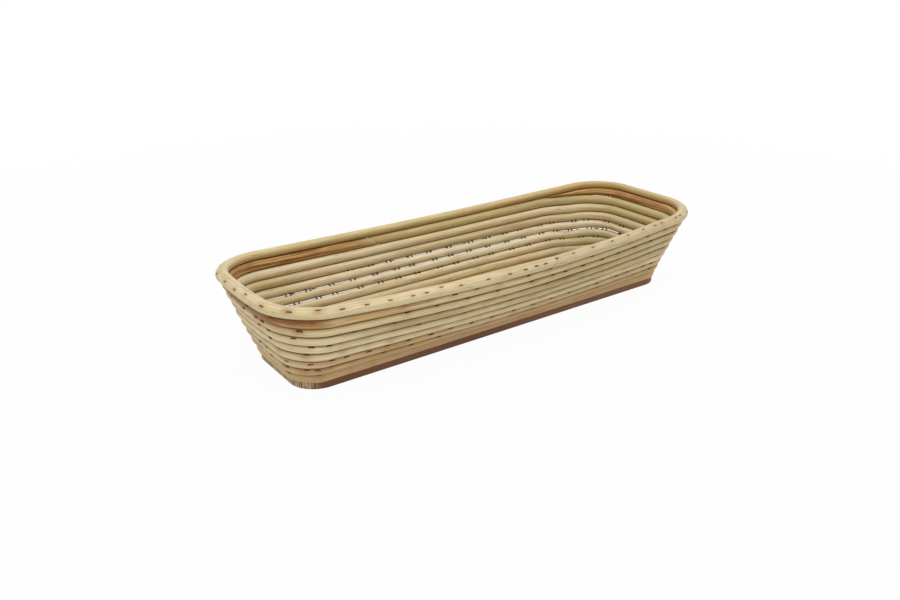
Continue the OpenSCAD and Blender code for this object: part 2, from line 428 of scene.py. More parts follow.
class Socket:
    """A value in a node tree. Arithmetic on it adds Math nodes."""

    def __init__(self, graph: "Graph", link: bpy.types.NodeSocket | None) -> None:
        """Keep the graph and the output that carries the value."""
        self.graph = graph
        self.link = link

    def __add__(self, other: "Socket | float") -> "Socket":
        """The sum of two values."""
        return self.graph.math("ADD", self, other)

    def __sub__(self, other: "Socket | float") -> "Socket":
        """This value less another."""
        return self.graph.math("SUBTRACT", self, other)

    def __rsub__(self, other: float) -> "Socket":
        """A number less this value."""
        return self.graph.math("SUBTRACT", other, self)

    def __mul__(self, other: "Socket | float") -> "Socket":
        """The product of two values."""
        return self.graph.math("MULTIPLY", self, other)

    __radd__ = __add__
    __rmul__ = __mul__

    def between(self, low: float, high: float) -> "Socket":
        """Smooth step of the value: 0 up to low, 1 from high on."""
        return self.graph.node("ShaderNodeMapRange", {"interpolation_type": "SMOOTHSTEP"},
                               {"Value": self, "From Min": low, "From Max": high})


@dataclass(frozen=True)
class Grain:
    """A noise: the size of its spots along each axis, its detail, and how far it is shifted."""

    size: tuple[float, float, float]
    detail: float
    shift: float = 0.0


@dataclass(frozen=True)
class Layer:
    """A tint that comes over a colour, up to a share, as a noise goes from low to high.

    With low above high it comes where the noise is small.
    """

    tint: Colour
    share: float
    low: float
    high: float

    def over(self, colour: Any, noise: Socket) -> Socket:
        """The colour with the tint laid over it."""
        return noise.graph.blend(self.share * noise.between(self.low, self.high), colour, self.tint)


def weigh(weights: Weights, *parts: Socket) -> Socket:
    """Sum of the parts times their weights, plus the first weight where there is one more of them."""
    extra = len(weights) - len(parts)
    return sum((weight * part for weight, part in zip(weights[extra:], parts)), sum(weights[:extra]))


class Graph:
    """A node tree that is filled from Python expressions."""

    def __init__(self, tree: bpy.types.NodeTree) -> None:
        """Empty the tree."""
        self.tree = tree
        tree.nodes.clear()

    def node(self, kind: str, settings: Mapping[str, Any], sockets: Mapping[Any, Any],
             output: int | str = 0) -> Socket:
        """Adds one node.

        Args:
            kind: the node's type.
            settings: its own properties, set first.
            sockets: values or links by input name or index.
            output: the output that is returned.

        Returns:
            The output, or an empty socket for a node without one.
        """
        made = self.tree.nodes.new(kind)
        for name, value in settings.items():
            setattr(made, name, value)
        for name, value in sockets.items():
            if isinstance(value, Socket):
                self.tree.links.new(value.link, made.inputs[name])
            else:
                made.inputs[name].default_value = value
        return Socket(self, made.outputs[output] if made.outputs else None)

    def math(self, operation: str, a: Socket | float, b: Socket | float) -> Socket:
        """A Math node on two values."""
        return self.node("ShaderNodeMath", {"operation": operation}, {0: a, 1: b})

    def blend(self, share: Socket | float, a: Any, b: Any, kind: str = "MIX") -> Socket:
        """Colour a mixed with colour b by a share, through a Mix node of that kind."""
        return self.node("ShaderNodeMix", {"data_type": "RGBA", "blend_type": kind},
                         {0: share, 6: a, 7: b}, 2)

    def attribute(self, name: str, output: str) -> Socket:
        """A mesh attribute of the piece, as its Color, Vector or Fac."""
        return self.node("ShaderNodeAttribute", {"attribute_name": name}, {}, output)

    def place(self) -> Socket:
        """The piece's own Object coordinates."""
        return self.node("ShaderNodeTexCoord", {}, {}, "Object")

    def noise(self, place: Socket, grain: Grain, shift: float = 0.0) -> Socket:
        """Noise from 0 to 1 over a place, with the shift added to the grain's own."""
        size = tuple(1 / length for length in grain.size)
        offset = tuple((shift + grain.shift) * part for part in NOISE_SHIFT)
        scaled = self.node("ShaderNodeVectorMath", {"operation": "MULTIPLY_ADD"},
                           {0: place, 1: size, 2: offset})
        return self.node("ShaderNodeTexNoise", {"noise_dimensions": "3D"},
                         {"Vector": scaled, "Scale": 1.0, "Detail": grain.detail,
                          "Roughness": NOISE_ROUGHNESS})

    def dim(self, colour: Socket, light: Socket) -> Socket:
        """A colour times an amount of light."""
        grey = self.node("ShaderNodeCombineColor", {}, dict.fromkeys(range(3), light))
        return self.blend(1.0, colour, grey, "MULTIPLY")

    def surface(self, sockets: Mapping[str, Any], height: Socket, depth: float, strength: float) -> None:
        """Ends the tree in a Principled shader, with a Bump node for the height."""
        bump = self.node("ShaderNodeBump", {}, {"Strength": strength, "Distance": depth, "Height": height})
        shader = self.node("ShaderNodeBsdfPrincipled", {}, {**sockets, "Normal": bump})
        self.node("ShaderNodeOutputMaterial", {}, {"Surface": shader})


def new_material(name: str) -> tuple[bpy.types.Material, Graph]:
    """A material with nodes, and the graph that fills it."""
    material = bpy.data.materials.new(name)
    material.use_nodes = True
    return material, Graph(material.node_tree)


@dataclass(frozen=True)
class CaneFinish:
    """Peeled cane: fibres along its length, drifting tones, bark streaks, painted shade on its lower side
    and under the cane above, and painted shade in its grooves.
    """

    name: str
    shift: float
    fibre: Grain = Grain((0.0008, 0.0008, 0.030), 3.0)
    streak: Grain = Grain((0.0017, 0.0017, 0.070), 3.0, 11.0)
    patch: Grain = Grain((0.009, 0.009, 0.040), 2.0, 23.0)
    drift: Grain = Grain((0.02, 0.02, 0.130), 1.0, 37.0)
    speck: Grain = Grain((0.0010, 0.0010, 0.016), 1.0, 51.0)
    strip: Grain = Grain((0.0011, 0.0011, 0.080), 2.0, 67.0)
    green: Layer = Layer(linear(192, 182, 128), 0.40, 0.52, 0.72)
    rose: Layer = Layer(linear(214, 184, 150), 0.20, 0.46, 0.28)
    tan_streaks: Layer = Layer(linear(184, 146, 94), 0.50, 0.50, 0.70)
    tan_patches: Layer = Layer(linear(184, 146, 94), 0.35, 0.56, 0.76)
    specks: Layer = Layer(linear(146, 104, 60), 0.55, 0.64, 0.76)
    bark: Layer = Layer(linear(214, 172, 106), 1.0, 0.43, 0.60)
    bark_dark: Colour = linear(136, 82, 34)
    bark_ripe: Weights = (0.6, 0.4, -0.10)
    bark_deep: Span = (1.0, 1.4)
    bark_share: float = 0.92
    bark_from: Span = (0.0, 0.2)
    bark_grain: Weights = (1.7, 0.8)
    bark_cover: Span = (0.20, 0.56)
    light: Weights = (0.36, 0.80, 0.48)
    # Tint of the painted shade on the lower side and under the cane above, laid on by the shade attribute.
    low: Colour = linear(206, 172, 98)
    rust: Colour = linear(158, 92, 50)
    rust_grain: Weights = (0.5, 0.9)
    # Colour of the painted shade in the grooves between canes.
    groove_shade: Colour = linear(92, 58, 30)
    groove_shade_grain: Weights = (0.6, 0.8)
    roughness: Weights = (0.50, 0.16, 0.12)
    specular: float = 0.30
    relief: Weights = (0.6, 0.4)
    bump_depth: float = 0.00025
    bump: float = 0.35

    def material(self) -> bpy.types.Material:
        """The cane's material, laid along it by the attributes that its mesh carries.

        Returns:
            The material.
        """
        material, graph = new_material(self.name)
        place = graph.attribute("grain", "Vector")
        tone = graph.attribute("tone", "Color")
        keys = ("bark", "groove_shade", "shade", "stain")
        bark, groove_shade, shade, stain = (graph.attribute(key, "Fac") for key in keys)
        grains = (self.fibre, self.streak, self.patch, self.drift, self.speck, self.strip)
        noises = (graph.noise(place, grain, self.shift) for grain in grains)
        fibre, streak, patch, drift, speck, strip = noises
        colour = self.green.over(tone, drift)
        colour = self.rose.over(colour, drift)
        colour = self.tan_streaks.over(colour, streak)
        colour = self.tan_patches.over(colour, patch)
        colour = self.specks.over(colour, speck)
        brown = self.bark.over(
            self.bark_dark, weigh(self.bark_ripe, strip, fibre, bark.between(*self.bark_deep)))
        grown = bark + weigh(self.bark_grain, strip - NOISE_MIDDLE, fibre - NOISE_MIDDLE)
        covered = grown.between(*self.bark_cover) * bark.between(*self.bark_from)
        colour = graph.blend(self.bark_share * covered, colour, brown)
        colour = graph.dim(colour, weigh(self.light, fibre, streak))
        # Painted shade: the low tint multiplies the colour where the shade attribute says.
        colour = graph.blend(shade, colour, self.low, "MULTIPLY")
        colour = graph.blend(stain * weigh(self.rust_grain, patch), colour, self.rust)
        # Painted shade in the grooves between canes, broken up by the streaks.
        colour = graph.blend(groove_shade * weigh(self.groove_shade_grain, streak), colour, self.groove_shade)
        rough = weigh(self.roughness, fibre - NOISE_MIDDLE, groove_shade)
        graph.surface({"Base Color": colour, "Roughness": rough, "Specular IOR Level": self.specular},
                      weigh(self.relief, fibre, streak), self.bump_depth, self.bump)
        return material


@dataclass(frozen=True)
class BoardFinish:
    """Stained board: upright growth rings that run its length, striped end grain at the ends."""

    name: str = "stained_board"
    ring: Grain = Grain((0.30, 0.0035, 0.05), 3.0, 3.0)
    pore: Grain = Grain((0.012, 0.0007, 0.0009), 2.0, 8.0)
    cloud: Grain = Grain((0.07, 0.03, 0.03), 2.0, 14.0)
    stripe: Grain = Grain((0.004, 0.0011, 0.02), 2.0, 19.0)
    dark: Colour = linear(108, 71, 49)
    light: Layer = Layer(linear(142, 100, 71), 1.0, 0.32, 0.68)
    pore_tint: Layer = Layer(linear(82, 56, 42), 0.5, 0.56, 0.70)
    end_dark: Colour = linear(98, 70, 52)
    end_light: Layer = Layer(linear(206, 176, 140), 1.0, 0.36, 0.64)
    brightness: Weights = (0.82, 0.36)
    roughness: Weights = (0.55, 0.2)
    specular: float = 0.3
    relief: Weights = (0.5, 0.5, -0.5)
    bump_depth: float = 0.0003
    bump: float = 0.35

    def material(self) -> bpy.types.Material:
        """The board's material on Object coordinates, with the end grain where the mesh says.

        Returns:
            The material.
        """
        material, graph = new_material(self.name)
        place = graph.place()
        end = graph.attribute("end_grain", "Fac")
        grains = (self.ring, self.pore, self.cloud, self.stripe)
        ring, pores, cloud, stripe = (graph.noise(place, grain) for grain in grains)
        colour = self.pore_tint.over(self.light.over(self.dark, ring), pores)
        colour = graph.blend(end, colour, self.end_light.over(self.end_dark, stripe))
        colour = graph.dim(colour, weigh(self.brightness, cloud))
        rough = weigh(self.roughness, pores - NOISE_MIDDLE)
        graph.surface({"Base Color": colour, "Roughness": rough, "Specular IOR Level": self.specular},
                      weigh(self.relief, ring, pores), self.bump_depth, self.bump)
        return material


@dataclass(frozen=True)
class StapleFinish:
    """Browned steel wire with a duller, darker bloom here and there."""

    name: str = "browned_wire"
    bloom: Grain = Grain((0.004, 0.004, 0.004), 2.0, 5.0)
    scratch: Grain = Grain((0.0012, 0.0003, 0.0003), 2.0, 9.0)
    dull: Colour = linear(78, 46, 16)
    bright: Layer = Layer(linear(124, 78, 34), 1.0, 0.35, 0.62)
    metallic: float = 0.05
    roughness: Weights = (0.55, 0.4)
    specular: float = 0.2
    bump_depth: float = 0.0001
    bump: float = 0.25

    def material(self) -> bpy.types.Material:
        """The wire's material on Object coordinates.

        Returns:
            The material.
        """
        material, graph = new_material(self.name)
        place = graph.place()
        bloom, scratch = (graph.noise(place, grain) for grain in (self.bloom, self.scratch))
        colour = self.bright.over(self.dull, bloom)
        rough = weigh(self.roughness, bloom - NOISE_MIDDLE)
        graph.surface({"Base Color": colour, "Metallic": self.metallic, "Roughness": rough,
                       "Specular IOR Level": self.specular}, scratch, self.bump_depth, self.bump)
        return material


@dataclass(frozen=True)
class FloorFinish:
    """White paper floor, lit from below like a light table: it still takes a soft shadow."""

    name: str = "white_floor"
    paper: Colour = linear(220, 217, 213)
    fleck: Layer = Layer(linear(206, 203, 198), 1.0, 0.45, 0.75)
    fibre: Grain = Grain((0.004, 0.004, 0.004), 2.0)
    lift: float = 0.965
    glow: float = 0.15
    near: float = 0.35
    far: float = 1.00

    def material(self) -> bpy.types.Material:
        """The floor's material, lifted to white where it is seen, and wholly so away from the basket.

        Returns:
            The material.
        """
        material, graph = new_material(self.name)
        place = graph.place()
        away = graph.node("ShaderNodeVectorMath", {"operation": "LENGTH"}, {0: place}, "Value")
        lift = self.lift + (1 - self.lift) * away.between(self.near, self.far)
        tint = self.fleck.over(self.paper, graph.noise(place, self.fibre))
        paper = graph.node("ShaderNodeBsdfDiffuse", {}, {"Color": tint})
        glow = graph.node("ShaderNodeEmission", {}, {"Color": WHITE, "Strength": 1.0})
        seen = seen_ray(graph)
        share = lift * seen + self.glow * (1 - seen)
        shader = graph.node("ShaderNodeMixShader", {}, {0: share, 1: paper, 2: glow})
        graph.node("ShaderNodeOutputMaterial", {}, {"Surface": shader})
        return material


def seen_ray(graph: Graph) -> Socket:
    """1 for a ray from the camera, a reflection or through glass, and 0 for a ray of light."""
    names = ("Is Camera Ray", "Is Glossy Ray", "Is Transmission Ray")
    camera, glossy, through = (graph.node("ShaderNodeLightPath", {}, {}, name) for name in names)
    return graph.math("MAXIMUM", camera, graph.math("MAXIMUM", glossy, through))


def add_object(name: str, data: bpy.types.ID) -> bpy.types.Object:
    """A new object of the scene, at the origin."""
    made = bpy.data.objects.new(name, data)
    bpy.context.scene.collection.objects.link(made)
    return made


def placement(axes: Sequence[Array], place: Sequence[float]) -> Matrix:
    """World matrix of an object with the given axes and place."""
    turned = np.eye(4)
    turned[:3, :3] = np.stack(axes, -1)
    turned[:3, 3] = place
    return Matrix(turned.tolist())


@dataclass(frozen=True)
class Surface:
    """A finished surface: its points, its faces as lists of point numbers, and its attributes."""

    points: Array
    faces: list[list[int]]
    attributes: Mapping[str, Array] = field(default_factory=dict)

    def piece(self, name: str, material: bpy.types.Material, slot: str, *nodes: str) -> None:
        """Puts the surface into the scene as a piece that rides on the basket's one body.

        Args:
            name: name of the piece.
            material: its material.
            slot: not used.
            nodes: the CAD nodes that the piece stands for.
        """
        piece = self.thing(name, material)
        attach(piece, BODY)
        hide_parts(*nodes)
        LOG.info("%s: %d points, %d faces", name, len(self.points), len(self.faces))

    def thing(self, name: str, material: bpy.types.Material) -> bpy.types.Object:
        """The surface as a smooth mesh object with its sharp edges kept."""
        mesh = bpy.data.meshes.new(name)
        mesh.from_pydata(self.points.tolist(), [], self.faces)
        kinds = {1: ("FLOAT", "value"), 3: ("FLOAT_VECTOR", "vector"), 4: ("FLOAT_COLOR", "color")}
        for key, values in self.attributes.items():
            kind, part = kinds[1 if values.ndim == 1 else values.shape[-1]]
            layer = mesh.attributes.new(key, kind, "POINT")
            layer.data.foreach_set(part, values.astype(np.float32).ravel())
        mesh.shade_smooth()
        mesh.set_sharp_from_angle(angle=SHARP_ANGLE)
        mesh.materials.append(material)
        return add_object(name, mesh)


def ring_faces(rings: int, sides: int) -> list[list[int]]:
    """Quads of a tube of closed rings, pointing away from its middle line."""
    index = np.arange(rings * sides).reshape(rings, sides)
    beside = np.roll(index, -1, axis=1)
    quads = np.stack([index[:-1], beside[:-1], beside[1:], index[1:]], -1)
    return quads.reshape(-1, 4).tolist()


def cap_faces(first: int, sides: int, middle: int, forward: bool) -> list[list[int]]:
    """Fan from a middle point over one closed ring, facing forward or back along the tube."""
    ring = first + np.arange(sides)
    beside = np.roll(ring, -1)
    pair = (ring, beside) if forward else (beside, ring)
    return np.stack([np.full(sides, middle), *pair], -1).tolist()


@dataclass(frozen=True)
class Section:
    """A cane's cross-section, one value for each ring.

    Top and bottom are its reach up and down the wall and side its reach through it. The two
    groove shades say how much shade is painted into the grooves above and below it, and flat how much its
    lower half is squared where it sits on the board. Stain is how much a staple has stained the cane,
    at one angle outward from its top, and board the height that no point falls below.
    """

    top: Array
    bottom: Array
    side: Array
    stain: Array
    groove_shade_above: Array
    groove_shade_below: Array
    flat: Array
    stain_at: float
    board: float = -math.inf


@dataclass(frozen=True)
class CaneShape:
    """A cane's own irregular form, laid over its strand: the tube that is swept along it."""

    sides: int = 28
    press: float = 0.00004
    slant: float = 1.2
    slant_run: float = 0.014
    splice_gap: float = 0.00035
    end_round: float = 0.0007
    end_tuck: float = 0.93
    # Where the painted groove shade starts and is full, by the cosine of the section's angle: at the top,
    # at the top on the outside, and at the bottom.
    groove_top: Span = (0.93, 1.0)
    groove_out: Span = (0.74, 0.93)
    groove_low: float = 0.84
    # Painted shade round the section, each an amount and the span of its smooth step: inside, at the foot,
    # outside, and under the cane above; then the width of the blend from inside to outside.
    shade_inside: tuple[float, float, float] = (0.26, -0.60, 0.25)
    shade_foot: tuple[float, float, float] = (0.30, 0.50, 1.00)
    shade_outside: tuple[float, float, float] = (0.50, 0.30, 0.75)
    shade_under: tuple[float, float, float] = (0.62, 0.40, 0.95)
    shade_blend: float = 0.3
    stain_reach: float = 0.55
    outer_power: float = 0.85
    foot: float = math.radians(110)
    plumb_sides: Span = (0.75, 1.0)
    sway: tuple[Wave, ...] = ((0.213, 0.00016, 0.4), (0.087, 0.00010, 1.9), (0.041, 0.00005, 5.2))
    swell: tuple[Wave, ...] = ((0.310, 0.010, 2.2), (0.127, 0.008, 0.7), (0.036, 0.004, 3.9))

    def shading(self, cos: Array, sin: Array) -> Array:
        """How much painted shade a cane takes round its section, each part a smooth step of its height.

        Inside the basket painted shade darkens it below its shoulder and again at its foot. Outside,
        painted shade darkens its foot and the part under the cane that lies on it.

        Args:
            cos, sin: cosine and sine of the section's angles.

        Returns:
            The shares, from 0 to 1.
        """
        inside, foot, outside, under = (
            amount * ease(low, high, x) for (amount, low, high), x in (
                (self.shade_inside, -cos), (self.shade_foot, -cos),
                (self.shade_outside, -cos), (self.shade_under, cos)))
        return mix(inside + foot, outside + under, ease(-self.shade_blend, self.shade_blend, sin))

    def plumb(self, angle: Array, high: Array, wide: Array, strand: Strand) -> Array:
        """Shift out of the wall that makes the outer face plumb under its widest point.

        Args:
            angle: the section's angles.
            high, wide: its points up the wall and out of it.
            strand: the cane's line.

        Returns:
            The shifts, none inside or at the basket's ends, and less and less from the foot
            of the face to the middle.
        """
        upright = strand.up[:, 2:]
        across = np.abs(strand.out[:, 1:2]) / np.linalg.norm(strand.out[:, :2], axis=1, keepdims=True)
        tilt = np.sqrt(1 - upright ** 2)
        level = high * tilt + wide * upright
        under = (angle < math.pi) & (np.cos(angle) < tilt)
        fade = np.clip((math.pi - angle) / (math.pi - self.foot), 0, 1)
        shift = under * fade * (level.max(axis=1, keepdims=True) - level) / upright
        return shift * ease(*self.plumb_sides, across)

    def tube(self, strand: Strand, section: Section, attributes: Mapping[str, Array],
             start_cut: bool, end_cut: bool) -> Surface:
        """Sweeps a round section along the strand.

        A ring's point at angle a lies top (or bottom, below the middle) times cos a up the
        wall and side times sin a out of it; on the outside, and where the lower half is flat,
        sin a is raised to a power below one. Slow sine sums sway the line and swell the
        section. The flat turn's outer face is plumb on the long sides, and no point lies lower
        than the section's board. A spliced end is cut at a slant: its points move along the
        cane by the slant times their height over the middle, less and less away from the end.
        Painted shade darkens the grooves towards cos a of 1, from lower down on the outside, and
        towards -1, and more painted shade falls round the section as shading() gives it, none where
        the lower half is flat. A stain fades as a bell curve of the angle.

        Args:
            strand: the cane's line.
            section: its cross-section.
            attributes: values at each ring that are passed to the finish.
            start_cut, end_cut: True where the cane meets another in a splice.

        Returns:
            The closed surface with its finish's attributes.
        """
        rings = len(strand.run)
        angle = np.linspace(0, 2 * math.pi, self.sides, endpoint=False)
        cos, sin = np.cos(angle), np.sin(angle)
        swell = 1 + ripple(strand.run, self.swell)
        sway = ripple(strand.run, self.sway)[:, None]
        high = np.where(cos > 0, section.top[:, None], section.bottom[:, None]) * cos
        power = np.where(cos < 0, 1 - section.flat[:, None], 1) * np.where(sin > 0, self.outer_power, 1)
        wide = (section.side * swell)[:, None] * np.sign(sin) * np.abs(sin) ** power + sway
        wide = wide + section.flat[:, None] * self.plumb(angle, high, wide, strand)
        ends = ((start_cut, strand.run), (end_cut, strand.run[-1] - strand.run))
        start, end = (cut * np.clip(1 - away / self.slant_run, 0, 1)[:, None] for cut, away in ends)
        round_start, round_end = (cut & (away < self.end_round) for cut, away in ends)
        tuck = np.where(round_start | round_end, self.end_tuck, 1)[:, None]
        high, wide = high * tuck, wide * tuck
        back = self.splice_gap / 2 * math.sqrt(1 + self.slant ** 2)
        forth = self.slant * (start + end) * high + back * (start - end)
        points = (strand.centre[:, None] + high[..., None] * strand.up[:, None]
                  + wide[..., None] * strand.out[:, None] + forth[..., None] * strand.along[:, None])
        points[..., 2] = np.maximum(points[..., 2], section.board)
        outer = (1 + sin) / 2
        # Painted shade in the grooves, darkest where the cane meets the one above and the one below.
        line_from, line_to = (mix(*pair, outer) for pair in zip(self.groove_top, self.groove_out))
        groove_shade = (section.groove_shade_above[:, None] * ease(line_from, line_to, cos)
                  + section.groove_shade_below[:, None] * ease(self.groove_low, 1, -cos))
        # Painted shade round the section, none on the turn that is squared on the board.
        shade = self.shading(cos, sin) * (1 - section.flat[:, None])
        turned = (angle - section.stain_at + math.pi) % (2 * math.pi) - math.pi
        layers = {
            "grain": np.stack([high, wide, strand.run[:, None] + forth], -1),
            "groove_shade": groove_shade,
            "shade": shade,
            "stain": section.stain[:, None] * np.exp(-(turned / self.stain_reach) ** 2),
        }
        for key, values in attributes.items():
            layers[key] = np.repeat(values[:, None], self.sides, axis=1)
        closed = {}
        for key, values in layers.items():
            flat = values.reshape(rings * self.sides, *values.shape[2:])
            closed[key] = np.concatenate([flat, values[[0, -1]].mean(axis=1)])
        last = (rings - 1) * self.sides
        middle = rings * self.sides
        faces = (ring_faces(rings, self.sides) + cap_faces(0, self.sides, middle, False)
                 + cap_faces(last, self.sides, middle + 1, True))
        caps = points[[0, -1]].mean(axis=1)
        return Surface(np.concatenate([points.reshape(-1, 3), caps]), faces, closed)


def tone_along(count: Array, stops: Sequence[ToneStop], stations: int) -> Array:
    """Cane colours along a winding, straight between stops given by turn, station and tone."""
    places = [(turn - 1) * stations + station for turn, station, _ in stops]
    lights = np.array([tone.light() for _, _, tone in stops])
    return np.stack([np.interp(count, places, light) for light in lights.T], -1)


def amount_along(count: Array, stops: Sequence[AmountStop], stations: int) -> Array:
    """An amount along a winding, straight between stops given by turn, station and value."""
    places = [(turn - 1) * stations + station for turn, station, _ in stops]
    return np.interp(count, places, [amount for _, _, amount in stops])


@dataclass(frozen=True)
class StaplePlan:
    """Where the staples sit along the winding and the rim, and how much each has stained the cane."""

    form: WallForm
    scarf_x: float = 0.017
    wall_step: float = 0.020
    rim_step: float = 0.018
    scatter: float = 0.0030
    last_row_end: float = 20.0
    rim_clear: float = 0.25
    stain_run: float = 0.0036
    seed: int = 7
    front_wall: Mapping[int, tuple[float, ...]] = field(default_factory=lambda: {
        2: (-166, -146, -124, -100, -75, -52, -28, -4, 20, 44, 68, 92, 116, 139, 161),
        3: (-172, -155, -138, -122, -105, -84, -68, -47, -27, -6, 14, 34, 54, 75, 88, 111, 125, 146),
        7: (-112, -88, -62, -34, 0, 21, 34, 55, 76, 95, 116, 137, 158),
        8: (-117, -96, -76, -56, -35, -7, 14, 36, 60, 84, 108, 130, 153),
    })
    corner_wall: Mapping[int, tuple[float, ...]] = field(default_factory=lambda: {
        2: (8.55, 9.35), 3: (6.25, 7.55, 8.95), 5: (6.9, 8.9, 9.75), 6: (7.0, 8.3, 10.17), 7: (6.9, 8.6),
        8: (6.4, 7.6, 9.15),
    })
    seen_rim: tuple[float, ...] = (
        5.38, 5.96, 6.48, 7.38, 8.38, 9.36, 10.05, 10.28, 10.52, 10.74, 10.88, 11.04, 11.22, 11.48, 11.70,
        11.85, 11.99, 12.08, 12.21, 12.40, 12.64, 12.88, 13.12, 13.38, 13.58, 13.72, 13.96, 14.30,
    )
    wall_stains: tuple[AmountStop, ...] = (
        (1, 0, 0.10), (1, 9, 0.40), (1, 11, 0.10),
        (2, 5, 0.25), (2, 8, 0.55), (2, 9.6, 0.45), (2, 11, 0.12),
        (4, 5, 0.15), (4, 8, 0.55), (4, 9.6, 0.55), (4, 11, 0.12),
        (7, 5, 0.15), (7, 7, 0.80), (7, 10, 0.70), (7, 11, 0.15),
        (8, 4, 0.20), (8, 7, 0.85), (8, 10, 0.50), (8, 12, 0.12), (8, 20, 0.10),
    )
    rim_stains: tuple[AmountStop, ...] = (
        (1, 12, 0.18), (1, 20, 0.12),
        (2, 4, 0.12), (2, 6, 0.30), (2, 7.3, 0.45), (2, 8.3, 0.80), (2, 9.5, 0.60), (2, 10.2, 0.30),
        (2, 10.8, 0.18), (2, 13, 0.18),
    )

    @property
    def scarf(self) -> float:
        """Station of the rim's scarf on the front."""
        return self.form.station_at(self.scarf_x, self.form.rim_level)

    def spread(self, line: Strand, known: Array, first: float, last: float, step: float,
               rng: np.random.Generator) -> Array:
        """Counts of one row: the known places, and even steps with a little scatter beside them.

        Args:
            line: the strand that the row follows.
            known: counts of the known places, rising, or none.
            first, last: counts between which the row runs.
            step: distance from one staple to the next.
            rng: source of the scatter.

        Returns:
            The row's counts, rising.
        """
        marks = np.concatenate([[first], known, [last]])
        spans = [marks[:2], marks[-2:]] if len(known) else [marks]
        parts = [known]
        for low, high in (np.interp(span, line.count, line.run) for span in spans):
            number = max(int((high - low) / step), 1)
            even = low + (np.arange(number) + 0.5) * (high - low) / number
            parts.append(np.interp(even + rng.uniform(-1, 1, number) * self.scatter, line.run, line.count))
        return np.sort(np.concatenate(parts))

    def line(self) -> Strand:
        """The whole winding's line, from its first full ring to its end."""
        return self.form.strand(0.0, self.form.last_count)

    def wall(self, turn: int) -> Array:
        """Counts of one turn's staples on the winding's line."""
        stations = self.form.stations
        first = (turn - 1) * stations
        last = first + (self.last_row_end if turn == self.form.turns else stations)
        corner = self.corner_wall.get(turn, ())
        front = (self.form.station_at(x * MM, turn) for x in self.front_wall.get(turn, ()))
        known = first + np.array([*corner, *front])
        rng = np.random.default_rng(self.seed + turn)
        return self.spread(self.line(), known, first, last, self.wall_step, rng)

    def rim(self, line: Strand) -> Array:
        """Counts of the rim's staples on the hoop's line."""
        stations = self.form.stations
        known = np.array(self.seen_rim)
        before = known[known < self.scarf] + stations
        after = known[known >= self.scarf]
        rng = np.random.default_rng(self.seed)
        first, last = after[-1] + self.rim_clear, before[0] - self.rim_clear
        rest = self.spread(line, np.array([]), first, last, self.rim_step, rng)
        return np.concatenate([after, rest, before])

    def stain(self, line: Strand, counts: Array, stops: Sequence[AmountStop]) -> Array:
        """Stain along a line: a bell curve at each staple, as high as the stops say."""
        high = amount_along(counts, stops, self.form.stations)
        run = np.interp(counts, line.count, line.run)
        return (high * np.exp(-((line.run[:, None] - run) / self.stain_run) ** 2)).sum(-1)


